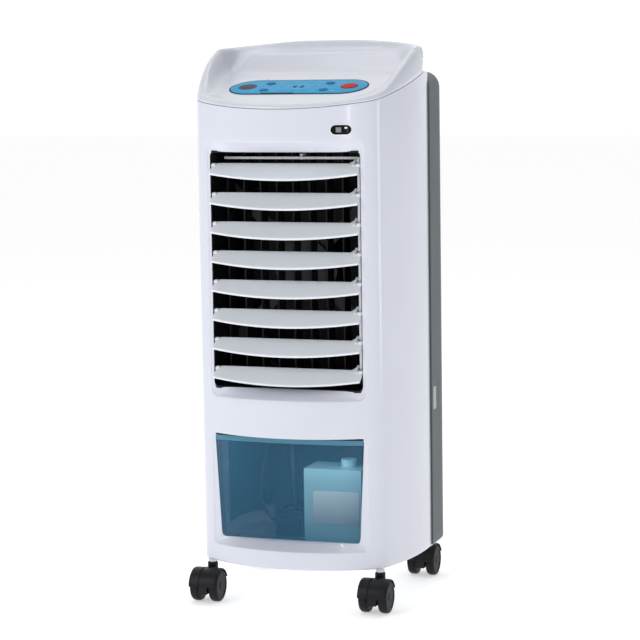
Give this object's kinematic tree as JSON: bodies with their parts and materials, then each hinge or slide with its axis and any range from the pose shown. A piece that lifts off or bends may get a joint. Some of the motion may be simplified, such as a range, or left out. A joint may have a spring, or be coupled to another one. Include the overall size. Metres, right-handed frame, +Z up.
{
  "type": "evaporative cooler",
  "caption": "Slim tower evaporative cooler with tilting louvres, a slide-out water tank behind a front window, a touch panel in its tray top and swivel casters.",
  "frame": {"origin": "on the floor, in the middle of the footprint", "axes": "+X to the right seen from the front, the front faces -Y, +Z up"},
  "size_m": [0.282, 0.27, 0.7],
  "materials": {
    "white_shell": "smooth",
    "grey_housing": "fine satin",
    "pale_plastic": "satin",
    "black_plastic": "satin",
    "caster_plastic": "semi-gloss",
    "overlay_cyan": "printed film",
    "sensor_lens": "smooth",
    "motor_steel": "plain",
    "pad_paper": "corrugated",
    "board_green": "solder resist",
    "steel": "zinc plated",
    "hose_rubber": "satin",
    "button_red": "smooth",
    "button_blue": "smooth",
    "filter_mesh": "woven mesh",
    "clip_grey": "smooth",
    "tank_blue": "translucent tinted plastic",
    "pump_dark": "satin",
    "ice_box_blue": "translucent"
  },
  "bodies": {
    "root": {"front_shell": "white_shell", "top_cap": "white_shell", "rear_housing": "grey_housing", "base_tray": "pale_plastic", "control_overlay": "overlay_cyan", "sensor_window": "sensor_lens", "louvre_frame": "black_plastic", "swing_motor": "motor_steel", "fan_motor": "motor_steel", "fan_plate": "pale_plastic", "cooling_pad": "pad_paper", "drip_tray": "pale_plastic", "control_board": "board_green", "shell_screws": "steel", "cord_gland": "black_plastic", "caster_stems": "steel", "pump_hose": "hose_rubber", "pump_cable": "black_plastic"},
    "louvre_1": {"louvre_1": "white_shell"},
    "louvre_2": {"louvre_2": "white_shell"},
    "louvre_3": {"louvre_3": "white_shell"},
    "louvre_4": {"louvre_4": "white_shell"},
    "louvre_5": {"louvre_5": "white_shell"},
    "louvre_6": {"louvre_6": "white_shell"},
    "louvre_7": {"louvre_7": "white_shell"},
    "louvre_8": {"louvre_8": "white_shell"},
    "louvre_link": {"louvre_link": "white_shell"},
    "vane_1": {"vane_1": "black_plastic"},
    "vane_2": {"vane_2": "black_plastic"},
    "vane_3": {"vane_3": "black_plastic"},
    "vane_4": {"vane_4": "black_plastic"},
    "vane_5": {"vane_5": "black_plastic"},
    "vane_6": {"vane_6": "black_plastic"},
    "vane_7": {"vane_7": "black_plastic"},
    "vane_8": {"vane_8": "black_plastic"},
    "vane_9": {"vane_9": "black_plastic"},
    "vane_link": {"vane_link": "white_shell"},
    "swing_crank": {"swing_crank": "white_shell"},
    "fan_wheel": {"fan_wheel": "pale_plastic"},
    "power_button": {"power_button": "button_red"},
    "speed_button": {"speed_button": "button_blue"},
    "swing_button": {"swing_button": "button_blue"},
    "cool_button": {"cool_button": "button_blue"},
    "timer_button": {"timer_button": "button_blue"},
    "rear_grille": {"rear_grille": "grey_housing", "dust_filter": "filter_mesh"},
    "grille_clip": {"grille_clip": "clip_grey"},
    "water_tank": {"water_tank": "tank_blue", "tank_panel": "grey_housing", "pump": "pump_dark", "ice_box": "ice_box_blue"},
    "tank_latch": {"tank_latch": "clip_grey"},
    "caster_1": {"caster_hood_1": "caster_plastic"},
    "wheels_1": {"caster_wheels_1": "caster_plastic"},
    "caster_2": {"caster_hood_2": "caster_plastic"},
    "wheels_2": {"caster_wheels_2": "caster_plastic"},
    "caster_3": {"caster_hood_3": "caster_plastic"},
    "wheels_3": {"caster_wheels_3": "caster_plastic"},
    "caster_4": {"caster_hood_4": "caster_plastic"},
    "wheels_4": {"caster_wheels_4": "caster_plastic"}
  },
  "joints": [
    {"name": "louvre_tilt", "type": "hinge", "parent": "root", "child": "louvre_1", "pos_m": [0, -0.1035, 0.548], "axis": [1, 0, 0], "range_deg": [-35, 20]},
    {"name": "louvre_tilt_2", "type": "hinge", "parent": "root", "child": "louvre_2", "pos_m": [0, -0.1035, 0.512], "axis": [1, 0, 0], "range_deg": [-35, 20]},
    {"name": "louvre_tilt_3", "type": "hinge", "parent": "root", "child": "louvre_3", "pos_m": [0, -0.1035, 0.476], "axis": [1, 0, 0], "range_deg": [-35, 20]},
    {"name": "louvre_tilt_4", "type": "hinge", "parent": "root", "child": "louvre_4", "pos_m": [0, -0.1035, 0.44], "axis": [1, 0, 0], "range_deg": [-35, 20]},
    {"name": "louvre_tilt_5", "type": "hinge", "parent": "root", "child": "louvre_5", "pos_m": [0, -0.1035, 0.404], "axis": [1, 0, 0], "range_deg": [-35, 20]},
    {"name": "louvre_tilt_6", "type": "hinge", "parent": "root", "child": "louvre_6", "pos_m": [0, -0.1035, 0.368], "axis": [1, 0, 0], "range_deg": [-35, 20]},
    {"name": "louvre_tilt_7", "type": "hinge", "parent": "root", "child": "louvre_7", "pos_m": [0, -0.1035, 0.332], "axis": [1, 0, 0], "range_deg": [-35, 20]},
    {"name": "louvre_tilt_8", "type": "hinge", "parent": "root", "child": "louvre_8", "pos_m": [0, -0.1035, 0.296], "axis": [1, 0, 0], "range_deg": [-35, 20]},
    {"name": "louvre_link_pin", "type": "hinge", "parent": "louvre_1", "child": "louvre_link", "pos_m": [0.09, -0.09521, 0.55359], "axis": [1, 0, 0], "range_deg": [-20, 35]},
    {"name": "vane_swing", "type": "hinge", "parent": "root", "child": "vane_1", "pos_m": [-0.086, -0.066, 0.42], "axis": [0, 0, 1], "range_deg": [-35, 35]},
    {"name": "vane_swing_2", "type": "hinge", "parent": "root", "child": "vane_2", "pos_m": [-0.0645, -0.066, 0.42], "axis": [0, 0, 1], "range_deg": [-35, 35]},
    {"name": "vane_swing_3", "type": "hinge", "parent": "root", "child": "vane_3", "pos_m": [-0.043, -0.066, 0.42], "axis": [0, 0, 1], "range_deg": [-35, 35]},
    {"name": "vane_swing_4", "type": "hinge", "parent": "root", "child": "vane_4", "pos_m": [-0.0215, -0.066, 0.42], "axis": [0, 0, 1], "range_deg": [-35, 35]},
    {"name": "vane_swing_5", "type": "hinge", "parent": "root", "child": "vane_5", "pos_m": [0, -0.066, 0.42], "axis": [0, 0, 1], "range_deg": [-35, 35]},
    {"name": "vane_swing_6", "type": "hinge", "parent": "root", "child": "vane_6", "pos_m": [0.0215, -0.066, 0.42], "axis": [0, 0, 1], "range_deg": [-35, 35]},
    {"name": "vane_swing_7", "type": "hinge", "parent": "root", "child": "vane_7", "pos_m": [0.043, -0.066, 0.42], "axis": [0, 0, 1], "range_deg": [-35, 35]},
    {"name": "vane_swing_8", "type": "hinge", "parent": "root", "child": "vane_8", "pos_m": [0.0645, -0.066, 0.42], "axis": [0, 0, 1], "range_deg": [-35, 35]},
    {"name": "vane_swing_9", "type": "hinge", "parent": "root", "child": "vane_9", "pos_m": [0.086, -0.066, 0.42], "axis": [0, 0, 1], "range_deg": [-35, 35]},
    {"name": "vane_link_pin", "type": "hinge", "parent": "vane_1", "child": "vane_link", "pos_m": [-0.086, -0.075, 0.556], "axis": [0, 0, 1], "range_deg": [-35, 35]},
    {"name": "swing_drive", "type": "hinge", "parent": "root", "child": "swing_crank", "pos_m": [0.01075, -0.066, 0.57], "axis": [0, 0, 1], "range_deg": [-35, 35]},
    {"name": "fan_spin", "type": "hinge", "parent": "root", "child": "fan_wheel", "pos_m": [0, 0, 0.41925], "axis": [0, 1, 0], "continuous": true},
    {"name": "power_button_press", "type": "slide", "parent": "root", "child": "power_button", "axis": [0, 0.2516, -0.9678], "range_m": [0, 0.0008], "stiffness_N_per_m": 400},
    {"name": "speed_button_press", "type": "slide", "parent": "root", "child": "speed_button", "axis": [0, 0.2516, -0.9678], "range_m": [0, 0.0008], "stiffness_N_per_m": 400},
    {"name": "swing_button_press", "type": "slide", "parent": "root", "child": "swing_button", "axis": [0, 0.2516, -0.9678], "range_m": [0, 0.0008], "stiffness_N_per_m": 400},
    {"name": "cool_button_press", "type": "slide", "parent": "root", "child": "cool_button", "axis": [0, 0.2516, -0.9678], "range_m": [0, 0.0008], "stiffness_N_per_m": 400},
    {"name": "timer_button_press", "type": "slide", "parent": "root", "child": "timer_button", "axis": [0, 0.2516, -0.9678], "range_m": [0, 0.0008], "stiffness_N_per_m": 400},
    {"name": "grille_pull", "type": "slide", "parent": "root", "child": "rear_grille", "axis": [0, 1, 0], "range_m": [0, 0.06]},
    {"name": "clip_press", "type": "slide", "parent": "root", "child": "grille_clip", "axis": [-1, 0, 0], "range_m": [0, 0.0015], "stiffness_N_per_m": 800},
    {"name": "tank_pull", "type": "slide", "parent": "root", "child": "water_tank", "axis": [0, 1, 0], "range_m": [0, 0.2], "deforming": ["pump_hose", "pump_cable"]},
    {"name": "latch_press", "type": "slide", "parent": "water_tank", "child": "tank_latch", "axis": [0, -1, 0], "range_m": [0, 0.002], "stiffness_N_per_m": 800},
    {"name": "caster_swivel_1", "type": "hinge", "parent": "root", "child": "caster_1", "pos_m": [-0.111, -0.0915, 0.04], "axis": [0, 0, 1], "continuous": true},
    {"name": "wheel_roll_1", "type": "hinge", "parent": "caster_1", "child": "wheels_1", "pos_m": [-0.111, -0.1085, 0.02], "axis": [1, 0, 0], "continuous": true},
    {"name": "caster_swivel_2", "type": "hinge", "parent": "root", "child": "caster_2", "pos_m": [0.111, -0.0915, 0.04], "axis": [0, 0, 1], "continuous": true},
    {"name": "wheel_roll_2", "type": "hinge", "parent": "caster_2", "child": "wheels_2", "pos_m": [0.111, -0.1085, 0.02], "axis": [1, 0, 0], "continuous": true},
    {"name": "caster_swivel_3", "type": "hinge", "parent": "root", "child": "caster_3", "pos_m": [-0.111, 0.117, 0.04], "axis": [0, 0, 1], "continuous": true},
    {"name": "wheel_roll_3", "type": "hinge", "parent": "caster_3", "child": "wheels_3", "pos_m": [-0.111, 0.1, 0.02], "axis": [1, 0, 0], "continuous": true},
    {"name": "caster_swivel_4", "type": "hinge", "parent": "root", "child": "caster_4", "pos_m": [0.111, 0.117, 0.04], "axis": [0, 0, 1], "continuous": true},
    {"name": "wheel_roll_4", "type": "hinge", "parent": "caster_4", "child": "wheels_4", "pos_m": [0.111, 0.1, 0.02], "axis": [1, 0, 0], "continuous": true}
  ],
  "couplings": [
    {"joint": "louvre_tilt_2", "follows": "louvre_tilt", "ratio": 1},
    {"joint": "louvre_tilt_3", "follows": "louvre_tilt", "ratio": 1},
    {"joint": "louvre_tilt_4", "follows": "louvre_tilt", "ratio": 1},
    {"joint": "louvre_tilt_5", "follows": "louvre_tilt", "ratio": 1},
    {"joint": "louvre_tilt_6", "follows": "louvre_tilt", "ratio": 1},
    {"joint": "louvre_tilt_7", "follows": "louvre_tilt", "ratio": 1},
    {"joint": "louvre_tilt_8", "follows": "louvre_tilt", "ratio": 1},
    {"joint": "louvre_link_pin", "follows": "louvre_tilt", "ratio": -1},
    {"joint": "vane_swing_2", "follows": "vane_swing", "ratio": 1},
    {"joint": "vane_swing_3", "follows": "vane_swing", "ratio": 1},
    {"joint": "vane_swing_4", "follows": "vane_swing", "ratio": 1},
    {"joint": "vane_swing_5", "follows": "vane_swing", "ratio": 1},
    {"joint": "vane_swing_6", "follows": "vane_swing", "ratio": 1},
    {"joint": "vane_swing_7", "follows": "vane_swing", "ratio": 1},
    {"joint": "vane_swing_8", "follows": "vane_swing", "ratio": 1},
    {"joint": "vane_swing_9", "follows": "vane_swing", "ratio": 1},
    {"joint": "vane_link_pin", "follows": "vane_swing", "ratio": -1},
    {"joint": "swing_drive", "follows": "vane_swing", "ratio": 1}
  ]
}
